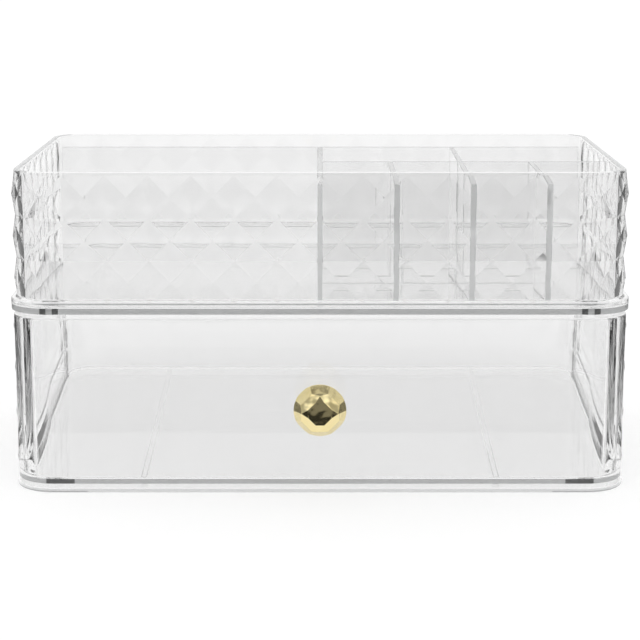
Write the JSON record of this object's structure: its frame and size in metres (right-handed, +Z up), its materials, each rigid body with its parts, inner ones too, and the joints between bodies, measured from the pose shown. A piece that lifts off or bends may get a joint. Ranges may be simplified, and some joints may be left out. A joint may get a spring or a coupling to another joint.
{
  "type": "acrylic makeup organizer with drawer",
  "caption": "Clear faceted acrylic vanity organizer: a full-width drawer with a gold cut knob below, and a lift-off open tray with dividers stacked on top.",
  "frame": {"origin": "centre of the case's underside in plan, on the surface that the organizer stands on", "axes": "+Z up, +X to the right of someone who faces the drawer, and -Y towards that person, the way the drawer opens"},
  "size_m": [0.24, 0.1524, 0.1251],
  "materials": {
    "clear_acrylic": "clear, polished by the mould",
    "gold_plate": "pale gold plate, mirror polish",
    "zinc_plate": "zinc plate"
  },
  "bodies": {
    "case": {"case_base": "clear_acrylic", "case_wall": "clear_acrylic", "case_top": "clear_acrylic", "rail_left": "clear_acrylic", "rail_right": "clear_acrylic"},
    "drawer": {"drawer_box": "clear_acrylic", "drawer_knob": "gold_plate", "knob_washer": "zinc_plate", "knob_screw": "zinc_plate"},
    "tray": {"tray_shell": "clear_acrylic", "rear_partition": "clear_acrylic", "middle_partition": "clear_acrylic", "front_partition": "clear_acrylic", "divider_1": "clear_acrylic", "divider_2": "clear_acrylic", "divider_3": "clear_acrylic", "divider_4": "clear_acrylic"}
  },
  "joints": [
    {"name": "drawer_slide", "type": "slide", "parent": "case", "child": "drawer", "axis": [0, -1, 0], "range_m": [0, 0.11]},
    {"name": "tray_lift", "type": "slide", "parent": "case", "child": "tray", "axis": [0, 0, 1], "range_m": [0, 0.08]}
  ]
}
